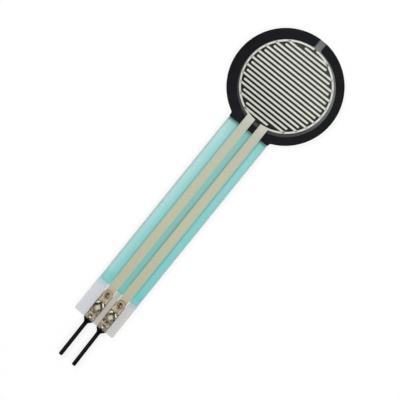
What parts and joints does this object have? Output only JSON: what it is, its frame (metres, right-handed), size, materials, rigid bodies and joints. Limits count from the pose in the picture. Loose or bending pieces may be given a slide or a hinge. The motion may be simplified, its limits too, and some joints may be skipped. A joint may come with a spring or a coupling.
{
  "type": "force sensing resistor",
  "caption": "Thin round film sensor with interdigitated silver electrodes, a vented black spacer, a teal flat tail and crimped square pins.",
  "frame": {"origin": "centre of the round sensing area's outline, on the underside that lies on the surface", "axes": "+Z out of the sensing side, +Y along the tail's line away from the pins, so that the tail and pins run along -Y"},
  "size_m": [0.0182, 0.0634, 0.0009],
  "materials": {
    "liner_paper": "smooth release paper",
    "clear_adhesive": "tacky, translucent",
    "amber_film": "smooth film, dark from the print behind it",
    "carbon_ink": "matte printed carbon",
    "black_spacer": "black adhesive sheet",
    "silver_print": "matte printed silver",
    "teal_coat": "printed insulating coat",
    "clear_film": "clear glossy polymer film",
    "dark_metal": "dark plated spring metal, bright on the pressed edges"
  },
  "bodies": {
    "root": {"release_liner": "liner_paper", "rear_adhesive": "clear_adhesive", "resistor_film": "amber_film", "resistive_ink": "carbon_ink", "spacer_adhesive": "black_spacer", "left_electrode": "silver_print", "right_electrode": "silver_print", "dielectric_coat": "teal_coat", "electrode_film": "clear_film", "left_contact": "dark_metal", "right_contact": "dark_metal"}
  },
  "joints": []
}
